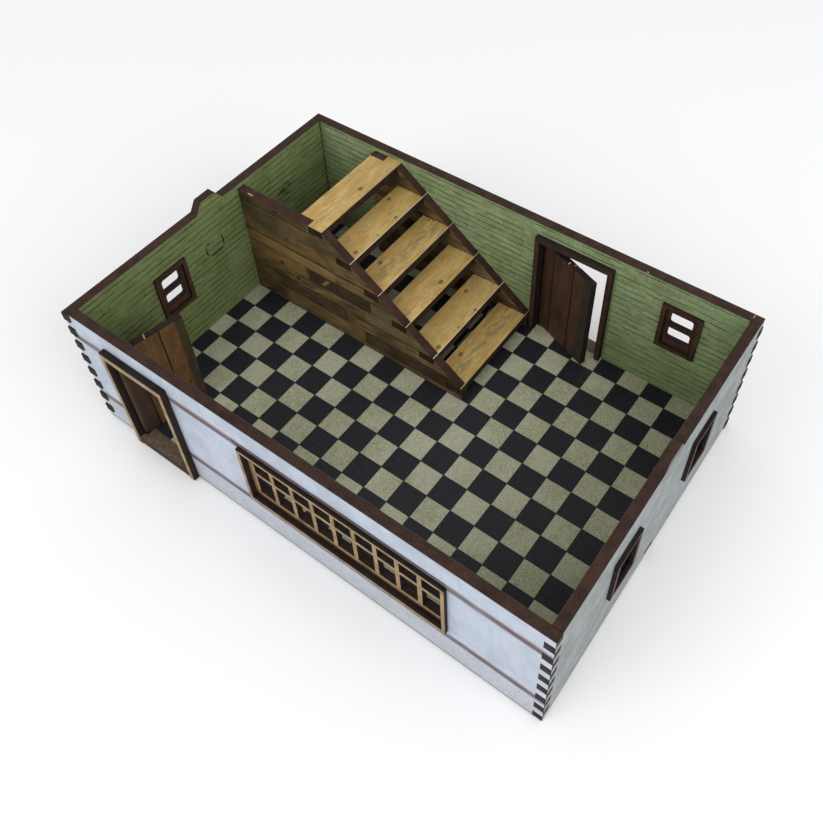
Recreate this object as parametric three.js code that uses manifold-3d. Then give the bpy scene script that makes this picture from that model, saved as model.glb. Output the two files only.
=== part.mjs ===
// Roofless ground storey of a miniature house for tabletop games, slotted together from laser-cut sheet.
// Units are millimetres. X runs along the two long walls, Y across the house and Z up.
// The origin is on the table, under the middle of the house.

import * as THREE from 'three';
import { mergeVertices } from 'three/addons/utils/BufferGeometryUtils.js';
import Module from 'manifold-3d';

const wasm = await Module();
wasm.setup();

// ---------------------------------------------------------------- driving dimensions

const sheet = 3.0; // walls, floor, stringers and treads
const doorSheet = 2.3; // door leaves
const doorFrameSheet = 2.15;
const trimSheet = 1.2; // window trim outside
const innerTrimSheet = 1.0; // window trim inside
const sashSheet = 2.0;
const fitGap = 0.05; // play left by the laser on each side of a tab

const houseLength = 172;
const houseWidth = 117;
const wallHeight = 53.4;
const fingerCount = 16; // equal steps in the height of each corner
const leftWallProud = 0.5; // its front fingers stand out from the street face
const backWallProud = 0.3; // its right-hand fingers stand out from the end wall

const locatingTabHeight = 3.6;
const locatingTabBase = 11.4;
const locatingTabTop = 6.4;

const floorTop = 4.0;
const sideTabStart = -1.2;
const sideTabEnd = 3.8;

const frontDoorX = -56.7; // middle of the street doorway
const backDoorX = 24.95; // middle of the rear doorway
const doorwayWidth = 24.6;
const doorwayTop = 45.4;
const doorStopWidth = 22.6; // clear width left by the outer frame
const doorStopTop = 44.3;
const outerFrameWidth = 26.7;
const outerFrameTop = 47.05;
const innerOpeningWidth = 24.9;
const innerOpeningTop = 46.4;
const innerFrameWidth = 28.7;
const innerFrameTop = 48.4;

const leafWidth = 24.0;
const leafBottom = 4.3;
const leafTop = 44.6;
const pegRadius = 0.95;
const pegPocket = 1.15; // half width of the pocket that a peg turns in
const pegNotchHalf = 1.3; // half width of the notch over the doorway
const pegNotchTop = 47.0;
const pegTop = 46.8;
const pegBottom = 1.6;
const pivotFromMiddle = 11.0; // hinge line to doorway middle
const pivotInset = 1.25; // hinge line to the outer face of the wall
const frontDoorOpen = 78; // degrees at rest
const backDoorOpen = 20;

const longWindowX = 19.8;
const longWindowZ = 29.6;
const longWindowBays = 9;
const longWindowPitch = 7.4;
const longWindowBar = 1.6;
const longWindowClear = { width: 68.5, height: 23.4 }; // inside the trim
const longWindowTrim = 1.4;
const longWindowPane = { width: 5.8, height: 9.3 };
const longWindowRail = 1.6; // between the two rows of panes

const smallWindowClear = { width: 10.4, height: 16.4 };
const smallWindowTrim = 1.6;
const smallPane = { width: 7.8, height: 5.6 };
const smallPaneCorner = 0.9;
const smallMidRail = 1.1;
const smallBottomRail = 2.5;
const sashLap = 0.55; // sash edge hidden behind the trim

const leftWindow = { along: -22.15, height: 32.4 };
const backWindow = { along: 63.3, height: 34.8 };
const rightNearWindow = { along: -22.0, height: 31.8 };
const rightFarWindow = { along: 22.4, height: 31.8 };

const stairFace = 12.6; // room side of the front stringer
const stairBackEdge = 55.5; // the back stringer stands against the rear wall
const stairFoot = 10.3;
const stairBackPanelStart = -57.0;
const treadCount = 6;
const treadGoing = 11.0;
const treadRise = 8.4;
const lowestTreadFront = 9.8;
const lowestTreadTop = 9.6;
const treadDepth = 11.2;
const topTreadDepth = 11.6;
const treadTab = 6.0; // front strip of a tread that runs through both stringers
const slopeDrop = 0.3; // slope line below each tread's front corner

const cornerSteps = 4;
const roundSteps = 20;

// ---------------------------------------------------------------- derived sizes

const wallX = houseLength / 2;
const wallY = houseWidth / 2;
const roomX = wallX - sheet;
const roomY = wallY - sheet;
const fingerHeight = wallHeight / fingerCount;
const upright = Math.PI / 2;

// ---------------------------------------------------------------- materials

function sheetMaterial(color, roughness = 0.8) {
  return new THREE.MeshStandardMaterial({ color, roughness, metalness: 0 });
}

const plasterPrint = sheetMaterial(0xd5d8dc);
const chequerPrint = sheetMaterial(0x5f6256, 0.65);
const plankPrint = sheetMaterial(0x6f5236, 0.7);
const pinePrint = sheetMaterial(0xb4925a, 0.7);
const doorPrint = sheetMaterial(0x70482a, 0.7);
const frameBrown = sheetMaterial(0x4a2f20, 0.75);
const sashTan = sheetMaterial(0xa07a50, 0.75);

// ---------------------------------------------------------------- sheet cutting

function outline(points) {
  return new THREE.Shape(points.map(([x, y]) => new THREE.Vector2(x, y)));
}

function rectangle(middleX, middleY, width, height) {
  const x0 = middleX - width / 2;
  const x1 = middleX + width / 2;
  const y0 = middleY - height / 2;
  const y1 = middleY + height / 2;
  return outline([[x0, y0], [x1, y0], [x1, y1], [x0, y1]]);
}

function roundedRectangle(middleX, middleY, width, height, corner) {
  const x0 = middleX - width / 2 + corner;
  const x1 = middleX + width / 2 - corner;
  const y0 = middleY - height / 2 + corner;
  const y1 = middleY + height / 2 - corner;
  const shape = new THREE.Shape();
  shape.absarc(x1, y1, corner, 0, 0.5 * Math.PI, false);
  shape.absarc(x0, y1, corner, 0.5 * Math.PI, Math.PI, false);
  shape.absarc(x0, y0, corner, Math.PI, 1.5 * Math.PI, false);
  shape.absarc(x1, y0, corner, 1.5 * Math.PI, 2 * Math.PI, false);
  shape.closePath();
  return shape;
}

function toSolid(geometry) {
  const plain = geometry.clone();
  plain.deleteAttribute('normal');
  plain.deleteAttribute('uv');
  const welded = mergeVertices(plain);
  return new wasm.Manifold(new wasm.Mesh({
    numProp: 3,
    vertProperties: Float32Array.from(welded.attributes.position.array),
    triVerts: Uint32Array.from(welded.index.array),
  }));
}

function fromSolid(solid) {
  const mesh = solid.getMesh();
  const geometry = new THREE.BufferGeometry();
  geometry.setAttribute('position', new THREE.BufferAttribute(Float32Array.from(mesh.vertProperties), 3));
  geometry.setIndex(new THREE.BufferAttribute(Uint32Array.from(mesh.triVerts), 1));
  geometry.computeVertexNormals();
  return geometry;
}

// Cuts a flat piece from sheet. Each hole is an outline of its own, cut right through.
function cut(shape, thickness, holes = []) {
  const blank = new THREE.ExtrudeGeometry(shape, { depth: thickness, bevelEnabled: false });
  if (holes.length === 0) {
    return blank;
  }
  let solid = toSolid(blank);
  for (const hole of holes) {
    const cutter = new THREE.ExtrudeGeometry(hole, {
      depth: 3 * thickness, bevelEnabled: false, curveSegments: cornerSteps,
    });
    cutter.translate(0, 0, -thickness);
    solid = solid.subtract(toSolid(cutter));
  }
  return fromSolid(solid);
}

function piece(name, geometry, material) {
  const mesh = new THREE.Mesh(geometry, material);
  mesh.name = name;
  return mesh;
}

// Stands a piece up along X: the outline's y becomes height and its thickness runs towards -Y from farFace.
function standAlongX(mesh, x, farFace, height = 0) {
  mesh.rotation.set(upright, 0, 0);
  mesh.position.set(x, farFace, height);
  return mesh;
}

// Stands a piece up along Y: the outline's y becomes height and its thickness runs to +X from nearFace.
function standAlongY(mesh, y, nearFace, height = 0) {
  mesh.rotation.set(upright, upright, 0);
  mesh.position.set(nearFace, y, height);
  return mesh;
}

// ---------------------------------------------------------------- walls

// Points up one end of a wall. Every second step is a finger that reaches the corner and the
// others make room for the neighbouring wall. inward is the direction from the corner into the wall.
function fingerEdge(corner, inward, ownsTop, proud = 0) {
  const points = [];
  for (let step = 0; step < fingerCount; step += 1) {
    const fromTop = fingerCount - 1 - step;
    const own = (fromTop % 2 === 0) === ownsTop;
    const reach = own ? corner - inward * proud : corner + inward * sheet;
    const play = own ? fitGap : -fitGap;
    const low = step === 0 ? 0 : step * fingerHeight + play;
    const high = fromTop === 0 ? wallHeight : (step + 1) * fingerHeight - play;
    points.push([reach, low], [reach, high]);
  }
  return points;
}

// A wall seen flat: its bottom edge may rise around notches and its top edge around a locating tab.
function wallShape(halfLength, start, end, bottomPoints, topPoints = []) {
  const startEdge = fingerEdge(-halfLength, 1, start.ownsTop, start.proud);
  const endEdge = fingerEdge(halfLength, -1, end.ownsTop, end.proud);
  return outline([...bottomPoints, ...endEdge, ...topPoints, ...startEdge.reverse()]);
}

// Doorway cut up from the bottom edge. The corner over the hinge is raised for the leaf's top peg.
function doorwayNotch(middle) {
  const left = middle - doorwayWidth / 2;
  const right = middle + doorwayWidth / 2;
  const notchEnd = middle - pivotFromMiddle + pegNotchHalf;
  return [
    [left, 0], [left, pegNotchTop], [notchEnd, pegNotchTop],
    [notchEnd, doorwayTop], [right, doorwayTop], [right, 0],
  ];
}

// Slot in the bottom edge of an end wall for the floor's side tab.
function floorTabNotch() {
  const low = sideTabStart - fitGap;
  const high = sideTabEnd + fitGap;
  return [[low, 0], [low, floorTop], [high, floorTop], [high, 0]];
}

// Tapered tab on the top edge that finds the storey above.
function locatingTab() {
  const top = wallHeight + locatingTabHeight;
  return [
    [locatingTabBase / 2, wallHeight], [locatingTabTop / 2, top],
    [-locatingTabTop / 2, top], [-locatingTabBase / 2, wallHeight],
  ];
}

function longWindowHole() {
  const width = longWindowClear.width + longWindowTrim;
  const height = longWindowClear.height + longWindowTrim;
  return rectangle(longWindowX, longWindowZ, width, height);
}

function smallWindowHole(window) {
  const width = smallWindowClear.width + 2 * sashLap;
  const height = smallWindowClear.height + 2 * sashLap;
  return rectangle(window.along, window.height, width, height);
}

function makeWalls() {
  const frontShape = wallShape(wallX, { ownsTop: false }, { ownsTop: true }, doorwayNotch(frontDoorX));
  const front = cut(frontShape, sheet, [longWindowHole()]);

  const backEnd = { ownsTop: false, proud: backWallProud };
  const backShape = wallShape(wallX, { ownsTop: true }, backEnd, doorwayNotch(backDoorX));
  const back = cut(backShape, sheet, [smallWindowHole(backWindow)]);

  const leftStart = { ownsTop: true, proud: leftWallProud };
  const leftShape = wallShape(wallY, leftStart, { ownsTop: false }, floorTabNotch(), locatingTab());
  const left = cut(leftShape, sheet, [smallWindowHole(leftWindow)]);

  const rightEnd = { ownsTop: true };
  const rightShape = wallShape(wallY, { ownsTop: false }, rightEnd, floorTabNotch(), locatingTab());
  const right = cut(rightShape, sheet, [smallWindowHole(rightNearWindow), smallWindowHole(rightFarWindow)]);

  const walls = new THREE.Group();
  walls.add(standAlongX(piece('front_wall', front, plasterPrint), 0, -roomY));
  walls.add(standAlongX(piece('back_wall', back, plasterPrint), 0, wallY));
  walls.add(standAlongY(piece('left_wall', left, plasterPrint), 0, -wallX));
  walls.add(standAlongY(piece('right_wall', right, plasterPrint), 0, roomX));
  return walls;
}

// ---------------------------------------------------------------- floor

// Doorway tongue of the floor, from the hinge side across. side is -1 on the street and 1 at the rear.
// A pocket at the hinge side takes the leaf's bottom peg, and outside the wall the tongue is narrower
// so that it passes between the legs of the outer frame.
function tongue(middle, side) {
  const half = doorwayWidth / 2 - fitGap;
  const halfOutside = doorStopWidth / 2 - fitGap;
  const pivotX = middle - pivotFromMiddle;
  const pivotY = wallY - pivotInset;
  const tip = wallY + doorFrameSheet;
  return [
    [middle - half, side * roomY], [middle - half, side * (pivotY - pegPocket)],
    [pivotX + pegPocket, side * (pivotY - pegPocket)], [pivotX + pegPocket, side * wallY],
    [middle - halfOutside, side * wallY], [middle - halfOutside, side * tip],
    [middle + halfOutside, side * tip], [middle + halfOutside, side * wallY],
    [middle + half, side * wallY], [middle + half, side * roomY],
  ];
}

function makeFloor() {
  const shape = outline([
    [-roomX, -roomY], ...tongue(frontDoorX, -1), [roomX, -roomY],
    [roomX, sideTabStart], [wallX, sideTabStart], [wallX, sideTabEnd], [roomX, sideTabEnd],
    [roomX, roomY], ...tongue(backDoorX, 1).reverse(), [-roomX, roomY],
    [-roomX, sideTabEnd], [-wallX, sideTabEnd], [-wallX, sideTabStart], [-roomX, sideTabStart],
  ]);
  const floor = piece('floor_panel', cut(shape, sheet), chequerPrint);
  floor.position.z = floorTop - sheet;
  return floor;
}

// ---------------------------------------------------------------- staircase

function treadFront(index) {
  return lowestTreadFront - index * treadGoing;
}

function treadTop(index) {
  return lowestTreadTop + index * treadRise;
}

// Height of the stringers' sloping edge over a point along the house.
function slopeHeight(x) {
  return lowestTreadTop - slopeDrop + (lowestTreadFront - x) * (treadRise / treadGoing);
}

// A stringer from its upper end down to the foot. Each tread's tab sits in a mortise whose front top
// corner breaks through the slope, and the top tread sits in a rebate of the level edge.
function stringerShape(upperEnd) {
  const mouth = (slopeDrop - fitGap) * (treadGoing / treadRise);
  const points = [[upperEnd, floorTop], [stairFoot, floorTop], [stairFoot, slopeHeight(stairFoot)]];
  for (let index = 0; index < treadCount; index += 1) {
    const front = treadFront(index) + fitGap;
    const back = treadFront(index) - treadTab - fitGap;
    const seat = treadTop(index) - sheet;
    points.push([front, slopeHeight(front)], [front, seat], [back, seat]);
    if (index < treadCount - 1) {
      const roof = treadTop(index) + fitGap;
      points.push([back, roof], [treadFront(index) - mouth, roof]);
    }
  }
  const level = treadTop(treadCount - 1);
  points.push([treadFront(treadCount - 1) - treadTab - fitGap, level], [upperEnd, level]);
  return outline(points);
}

// A tread seen from above with its front edge on x = 0: a full-width front strip and a narrower body.
function treadShape(depth) {
  const stripHalf = (stairBackEdge - stairFace) / 2;
  const bodyHalf = stripHalf - sheet - fitGap;
  return outline([
    [0, -stripHalf], [0, stripHalf], [-treadTab, stripHalf], [-treadTab, bodyHalf],
    [-depth, bodyHalf], [-depth, -bodyHalf], [-treadTab, -bodyHalf], [-treadTab, -stripHalf],
  ]);
}

function makeStairs() {
  const stairs = new THREE.Group();
  const frontPanel = piece('stair_front_panel', cut(stringerShape(-roomX), sheet), plankPrint);
  const backPanel = piece('stair_back_panel', cut(stringerShape(stairBackPanelStart), sheet), plankPrint);
  stairs.add(standAlongX(frontPanel, 0, stairFace + sheet));
  stairs.add(standAlongX(backPanel, 0, stairBackEdge));
  for (let index = 0; index < treadCount; index += 1) {
    const depth = index === treadCount - 1 ? topTreadDepth : treadDepth;
    const tread = piece(`stair_tread_${index + 1}`, cut(treadShape(depth), sheet), pinePrint);
    tread.position.set(treadFront(index), (stairFace + stairBackEdge) / 2, treadTop(index) - sheet);
    stairs.add(tread);
  }
  return stairs;
}

// ---------------------------------------------------------------- doors

// Three-sided frame around a doorway, middle on x = 0, legs down to z = bottom.
function doorFrameShape(openingWidth, openingTop, width, top, bottom) {
  const inner = openingWidth / 2;
  const outer = width / 2;
  return outline([
    [-outer, bottom], [-inner, bottom], [-inner, openingTop], [inner, openingTop],
    [inner, bottom], [outer, bottom], [outer, top], [-outer, top],
  ]);
}

function outerDoorFrame(name) {
  const shape = doorFrameShape(doorStopWidth, doorStopTop, outerFrameWidth, outerFrameTop, 0);
  return piece(name, cut(shape, doorFrameSheet), frameBrown);
}

function innerDoorFrame(name) {
  const opening = [innerOpeningWidth, innerOpeningTop];
  const shape = doorFrameShape(...opening, innerFrameWidth, innerFrameTop, floorTop);
  return piece(name, cut(shape, doorFrameSheet), frameBrown);
}

function peg(low, high) {
  const geometry = new THREE.CylinderGeometry(pegRadius, pegRadius, high - low, roundSteps);
  geometry.rotateX(upright);
  geometry.translate(0, 0, (low + high) / 2);
  return toSolid(geometry);
}

// Leaf seen from above with its hinge line on the origin: the hinge edge is rounded so that it can turn.
function leafGeometry() {
  const half = doorSheet / 2;
  const plan = new THREE.Shape();
  plan.absarc(0, 0, half, 0.5 * Math.PI, 1.5 * Math.PI, false);
  plan.lineTo(leafWidth - half, -half);
  plan.lineTo(leafWidth - half, half);
  plan.closePath();
  const board = new THREE.ExtrudeGeometry(plan, {
    depth: leafTop - leafBottom, bevelEnabled: false, curveSegments: roundSteps / 2,
  });
  board.translate(0, 0, leafBottom);
  const pegRoot = half; // each peg starts this far inside the leaf
  const withPegs = toSolid(board)
    .add(peg(leafTop - pegRoot, pegTop))
    .add(peg(pegBottom, leafBottom + pegRoot));
  return fromSolid(withPegs);
}

function doorLeaf(name, middle, side, degreesOpen) {
  const leaf = piece(name, leafGeometry(), doorPrint);
  leaf.position.set(middle - pivotFromMiddle, side * (wallY - pivotInset), 0);
  leaf.rotation.z = -side * THREE.MathUtils.degToRad(degreesOpen);
  return leaf;
}

function makeDoors() {
  const doors = new THREE.Group();
  doors.add(doorLeaf('front_door', frontDoorX, -1, frontDoorOpen));
  doors.add(doorLeaf('back_door', backDoorX, 1, backDoorOpen));
  doors.add(standAlongX(outerDoorFrame('front_door_outer_frame'), frontDoorX, -wallY));
  doors.add(standAlongX(innerDoorFrame('front_door_inner_frame'), frontDoorX, -roomY + doorFrameSheet));
  doors.add(standAlongX(outerDoorFrame('back_door_outer_frame'), backDoorX, wallY + doorFrameSheet));
  doors.add(standAlongX(innerDoorFrame('back_door_inner_frame'), backDoorX, roomY));
  return doors;
}

// ---------------------------------------------------------------- windows

function trimRing(clear, trim, thickness) {
  const shape = rectangle(0, 0, clear.width + 2 * trim, clear.height + 2 * trim);
  return cut(shape, thickness, [rectangle(0, 0, clear.width, clear.height)]);
}

function longSash() {
  const width = longWindowClear.width + longWindowTrim - 2 * fitGap;
  const height = longWindowClear.height + longWindowTrim - 2 * fitGap;
  const rowOffset = (longWindowPane.height + longWindowRail) / 2;
  const panes = [];
  for (let bay = 0; bay < longWindowBays; bay += 1) {
    const x = (bay - (longWindowBays - 1) / 2) * longWindowPitch;
    for (const z of [-rowOffset, rowOffset]) {
      panes.push(rectangle(x, z, longWindowPitch - longWindowBar, longWindowPane.height));
    }
  }
  return cut(rectangle(0, 0, width, height), sashSheet, panes);
}

function smallSash() {
  const width = smallWindowClear.width + 2 * sashLap - 2 * fitGap;
  const height = smallWindowClear.height + 2 * sashLap - 2 * fitGap;
  const lowPane = -smallWindowClear.height / 2 + smallBottomRail + smallPane.height / 2;
  const highPane = lowPane + smallPane.height + smallMidRail;
  const panes = [lowPane, highPane].map(
    (z) => roundedRectangle(0, z, smallPane.width, smallPane.height, smallPaneCorner),
  );
  return cut(rectangle(0, 0, width, height), sashSheet, panes);
}

// The trim on both faces of a wall and the sash between them, as pieces still lying flat.
function windowPieces(name, clear, trim, sash) {
  return {
    outer: piece(`${name}_outer_frame`, trimRing(clear, trim, trimSheet), frameBrown),
    sash: piece(`${name}_sash`, sash, sashTan),
    inner: piece(`${name}_inner_frame`, trimRing(clear, trim, innerTrimSheet), frameBrown),
  };
}

// side is -1 for the wall on the negative side of the house and 1 for the wall on the positive side.
function windowAlongX(parts, along, height, side) {
  const group = new THREE.Group();
  const outerFar = side < 0 ? -wallY : wallY + trimSheet;
  const sashFar = side < 0 ? -roomY : roomY + sashSheet;
  const innerFar = side < 0 ? -roomY + innerTrimSheet : roomY;
  group.add(standAlongX(parts.outer, along, outerFar, height));
  group.add(standAlongX(parts.sash, along, sashFar, height));
  group.add(standAlongX(parts.inner, along, innerFar, height));
  return group;
}

function windowAlongY(parts, along, height, side) {
  const group = new THREE.Group();
  const outerNear = side < 0 ? -wallX - trimSheet : wallX;
  const sashNear = side < 0 ? -roomX - sashSheet : roomX;
  const innerNear = side < 0 ? -roomX : roomX - innerTrimSheet;
  group.add(standAlongY(parts.outer, along, outerNear, height));
  group.add(standAlongY(parts.sash, along, sashNear, height));
  group.add(standAlongY(parts.inner, along, innerNear, height));
  return group;
}

function smallWindow(name) {
  return windowPieces(name, smallWindowClear, smallWindowTrim, smallSash());
}

function makeWindows() {
  const windows = new THREE.Group();
  const long = windowPieces('long_window', longWindowClear, longWindowTrim, longSash());
  windows.add(windowAlongX(long, longWindowX, longWindowZ, -1));
  windows.add(windowAlongX(smallWindow('back_window'), backWindow.along, backWindow.height, 1));
  windows.add(windowAlongY(smallWindow('left_window'), leftWindow.along, leftWindow.height, -1));
  const near = smallWindow('right_near_window');
  const far = smallWindow('right_far_window');
  windows.add(windowAlongY(near, rightNearWindow.along, rightNearWindow.height, 1));
  windows.add(windowAlongY(far, rightFarWindow.along, rightFarWindow.height, 1));
  return windows;
}

// ---------------------------------------------------------------- assembly

const house = new THREE.Group();
house.add(makeFloor());
house.add(makeWalls());
house.add(makeStairs());
house.add(makeDoors());
house.add(makeWindows());

export default house;
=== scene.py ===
"""Roofless ground storey of a miniature house for tabletop games, slotted together from printed,
laser-cut sheet. Lengths are written in millimetres and turned into metres as each mesh is made."""

import math

import bmesh
import bpy
import numpy as np
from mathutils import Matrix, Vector


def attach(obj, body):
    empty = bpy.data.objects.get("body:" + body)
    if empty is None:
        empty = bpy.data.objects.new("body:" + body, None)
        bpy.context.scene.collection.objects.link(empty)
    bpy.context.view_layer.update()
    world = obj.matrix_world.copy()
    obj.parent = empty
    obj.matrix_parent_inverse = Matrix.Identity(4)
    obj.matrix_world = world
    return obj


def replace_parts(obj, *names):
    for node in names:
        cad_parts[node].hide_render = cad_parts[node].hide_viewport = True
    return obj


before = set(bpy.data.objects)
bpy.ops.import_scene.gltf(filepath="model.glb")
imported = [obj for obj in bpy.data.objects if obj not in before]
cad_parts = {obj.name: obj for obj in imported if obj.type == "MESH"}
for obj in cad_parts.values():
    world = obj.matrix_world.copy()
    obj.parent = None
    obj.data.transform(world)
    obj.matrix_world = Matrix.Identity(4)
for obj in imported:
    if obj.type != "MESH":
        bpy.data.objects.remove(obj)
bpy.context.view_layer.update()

# ---------------------------------------------------------------- floor panel
# One 3 mm sheet of fibreboard with a chequered tile print on top. It is laser cut, so its edges are
# charred brown. Its tongues fill the two doorways and its side tabs sit in the end walls.


def ink(red, green, blue):
    """Colour of a print as read off a colour card, 0 to 255, in the linear light a shader takes:
    ((c + 0.055) / 1.055) to the power 2.4."""
    return tuple(((c / 255 + 0.055) / 1.055) ** 2.4 for c in (red, green, blue)) + (1.0,)


def toned(colour, factor):
    """A print's colour made darker or paler: each of its three numbers times factor."""
    return tuple(part * factor for part in colour)


class Finish:
    """A surface finish put together node by node. Lengths in it are millimetres on the piece's own axes,
    or in the attribute named by place."""

    def __init__(self, name, place=None):
        self.material = bpy.data.materials.new(name)
        self.material.use_nodes = True
        self.nodes = self.material.node_tree.nodes
        self.links = self.material.node_tree.links
        self.nodes.clear()
        if place is None:
            metres = self.nodes.new("ShaderNodeTexCoord").outputs["Object"]
            self.place = self.vector("MULTIPLY", metres, (1000, 1000, 1000))
        else:
            carried = self.nodes.new("ShaderNodeAttribute")
            carried.attribute_name = place
            self.place = carried.outputs["Vector"]
        split = self.nodes.new("ShaderNodeSeparateXYZ")
        self.links.new(self.place, split.inputs[0])
        self.x, self.y, self.z = split.outputs

    def feed(self, socket, value):
        if isinstance(value, bpy.types.NodeSocket):
            self.links.new(value, socket)
        else:
            socket.default_value = value

    def sum(self, operation, *values):
        node = self.nodes.new("ShaderNodeMath")
        node.operation = operation
        for socket, value in zip(node.inputs, values):
            self.feed(socket, value)
        return node.outputs[0]

    def vector(self, operation, first, second):
        node = self.nodes.new("ShaderNodeVectorMath")
        node.operation = operation
        self.feed(node.inputs[0], first)
        self.feed(node.inputs[1], second)
        return node.outputs[0]

    def cloud(self, size, stretch=(1, 1, 1), detail=3.0, shift=(0, 0, 0)):
        """Cloudy values from 0 to 1 in patches about size mm across, drawn out by stretch along each axis."""
        moved = self.vector("ADD", self.place, shift)
        scaled = self.vector("MULTIPLY", moved, tuple(1 / (size * s) for s in stretch))
        node = self.nodes.new("ShaderNodeTexNoise")
        self.links.new(scaled, node.inputs["Vector"])
        node.inputs["Scale"].default_value = 1.0
        node.inputs["Detail"].default_value = detail
        node.inputs["Roughness"].default_value = 0.6
        return node.outputs["Fac"]

    def spread(self, value, low, high):
        """0 below low, 1 above high and smooth between. With low above high it falls instead of rising."""
        node = self.nodes.new("ShaderNodeMapRange")
        node.interpolation_type = "SMOOTHSTEP"
        self.feed(node.inputs["Value"], value)
        if low <= high:
            ends = (low, high, 0.0, 1.0)
        else:
            ends = (high, low, 1.0, 0.0)
        for socket, end in zip(("From Min", "From Max", "To Min", "To Max"), ends):
            node.inputs[socket].default_value = end
        return node.outputs[0]

    def stripe(self, value, low, high, soft):
        """1 between low and high, with edges that fade over soft."""
        rise = self.spread(value, low - soft / 2, low + soft / 2)
        fall = self.spread(value, high + soft / 2, high - soft / 2)
        return self.sum("MULTIPLY", rise, fall)

    def patch(self, across, up, left, right, low, high, soft=0.3):
        """1 inside a rectangle on the two given axes."""
        sides = self.stripe(across, left, right, soft)
        return self.sum("MULTIPLY", sides, self.stripe(up, low, high, soft))

    def spot(self, across, up, middle_across, middle_up, half_across, half_up):
        """1 in the middle of an ellipse, falling to 0 at its rim."""
        a = self.sum("DIVIDE", self.sum("SUBTRACT", across, middle_across), half_across)
        b = self.sum("DIVIDE", self.sum("SUBTRACT", up, middle_up), half_up)
        squares = self.sum("ADD", self.sum("MULTIPLY", a, a), self.sum("MULTIPLY", b, b))
        return self.spread(squares, 1.0, 0.25)

    def mix(self, share, first, second):
        node = self.nodes.new("ShaderNodeMix")
        node.data_type = "RGBA"
        self.feed(node.inputs[0], share)
        self.feed(node.inputs[6], first)
        self.feed(node.inputs[7], second)
        return node.outputs[2]

    def scaled(self, value, factor):
        return self.sum("MULTIPLY", value, factor)

    def lay(self, colour, tone, area, strength):
        """Lays a tone over a colour: by the share strength where area is 1, not at all where it is 0."""
        return self.mix(self.scaled(area, strength), colour, ink(*tone))

    def from_line(self, count, pitch):
        """Distance to the nearest of a row of lines pitch apart, when count is the place in pitches."""
        part = self.sum("FRACT", count)
        near = self.sum("MINIMUM", part, self.sum("SUBTRACT", 1.0, part))
        return self.scaled(near, pitch)

    def done(self, colour, rough, height, depth, specular=0.35):
        """Joins colour, roughness and a relief of the given depth in millimetres into the shader."""
        shader = self.nodes.new("ShaderNodeBsdfPrincipled")
        shader.inputs["Specular IOR Level"].default_value = specular
        self.feed(shader.inputs["Base Color"], colour)
        self.feed(shader.inputs["Roughness"], rough)
        bump = self.nodes.new("ShaderNodeBump")
        bump.inputs["Distance"].default_value = depth / 1000
        self.feed(bump.inputs["Height"], height)
        self.links.new(bump.outputs[0], shader.inputs["Normal"])
        output = self.nodes.new("ShaderNodeOutputMaterial")
        self.links.new(shader.outputs[0], output.inputs["Surface"])
        return self.material


long_wall_face, end_wall_face = 55.5, 83.0


def charred_edge(name, dark, light, corner_lines=False):
    """Laser-cut edge: brown char in soft patches with the fine ripple that the beam leaves. With
    corner_lines, the glue line shows where a long wall's top edge meets an end wall's, which is level with
    the walls' room faces."""
    edge = Finish(name)
    patches = edge.spread(edge.cloud(4.0, detail=4), 0.3, 0.7)
    grain = edge.cloud(0.35, detail=4)
    fibre = edge.cloud(0.7, detail=4, shift=(3, 8, 5))
    colour = edge.mix(patches, ink(*dark), ink(*light))
    colour = edge.lay(colour, dark, edge.spread(fibre, 0.42, 0.66), 0.5)
    colour = edge.lay(colour, toned(light, 1.35), edge.spread(grain, 0.52, 0.68), 0.55)
    pits = edge.spread(edge.cloud(0.5, detail=3, shift=(9, 1, 4)), 0.56, 0.68)
    colour = edge.lay(colour, toned(dark, 0.6), pits, 0.55)
    if corner_lines:
        beyond = edge.spread(edge.sum("ABSOLUTE", edge.x), end_wall_face - 0.1, end_wall_face + 0.1)
        from_middle = edge.sum("ABSOLUTE", edge.y)
        line = edge.stripe(from_middle, long_wall_face - 0.12, long_wall_face + 0.12, 0.1)
        line = edge.sum("MULTIPLY", line, beyond)
        colour = edge.lay(colour, (14, 9, 8), line, 0.85)
    rough = edge.sum("ADD", 0.68, edge.scaled(grain, 0.3))
    ripple = edge.sum("ADD", grain, edge.scaled(edge.cloud(0.16), 0.4))
    return edge.done(colour, rough, ripple, 0.09, specular=0.3)


wall_edge = charred_edge("charred_wall_edge", (38, 22, 16), (62, 41, 32), corner_lines=True)
dark_edge = charred_edge("charred_trim_edge", (20, 13, 11), (40, 27, 21))


def bare_board(name):
    """Unprinted fibreboard: pressed brown fibre with pale and dark flecks."""
    board = Finish(name)
    fibre = board.cloud(0.5, detail=6)
    colour = board.mix(board.spread(board.cloud(9.0), 0.3, 0.7), ink(132, 102, 72), ink(150, 118, 84))
    colour = board.lay(colour, (98, 72, 50), board.spread(fibre, 0.5, 0.75), 0.5)
    rough = board.sum("ADD", 0.7, board.scaled(fibre, 0.25))
    return board.done(colour, rough, fibre, 0.05)


raw_board = bare_board("bare_fibreboard")


def mounted(name, mesh, body):
    """Puts a mesh in the scene as a piece that rides on a body and takes a material slot."""
    piece = bpy.data.objects.new(name, mesh)
    bpy.context.scene.collection.objects.link(piece)
    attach(piece, body)
    return piece


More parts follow.
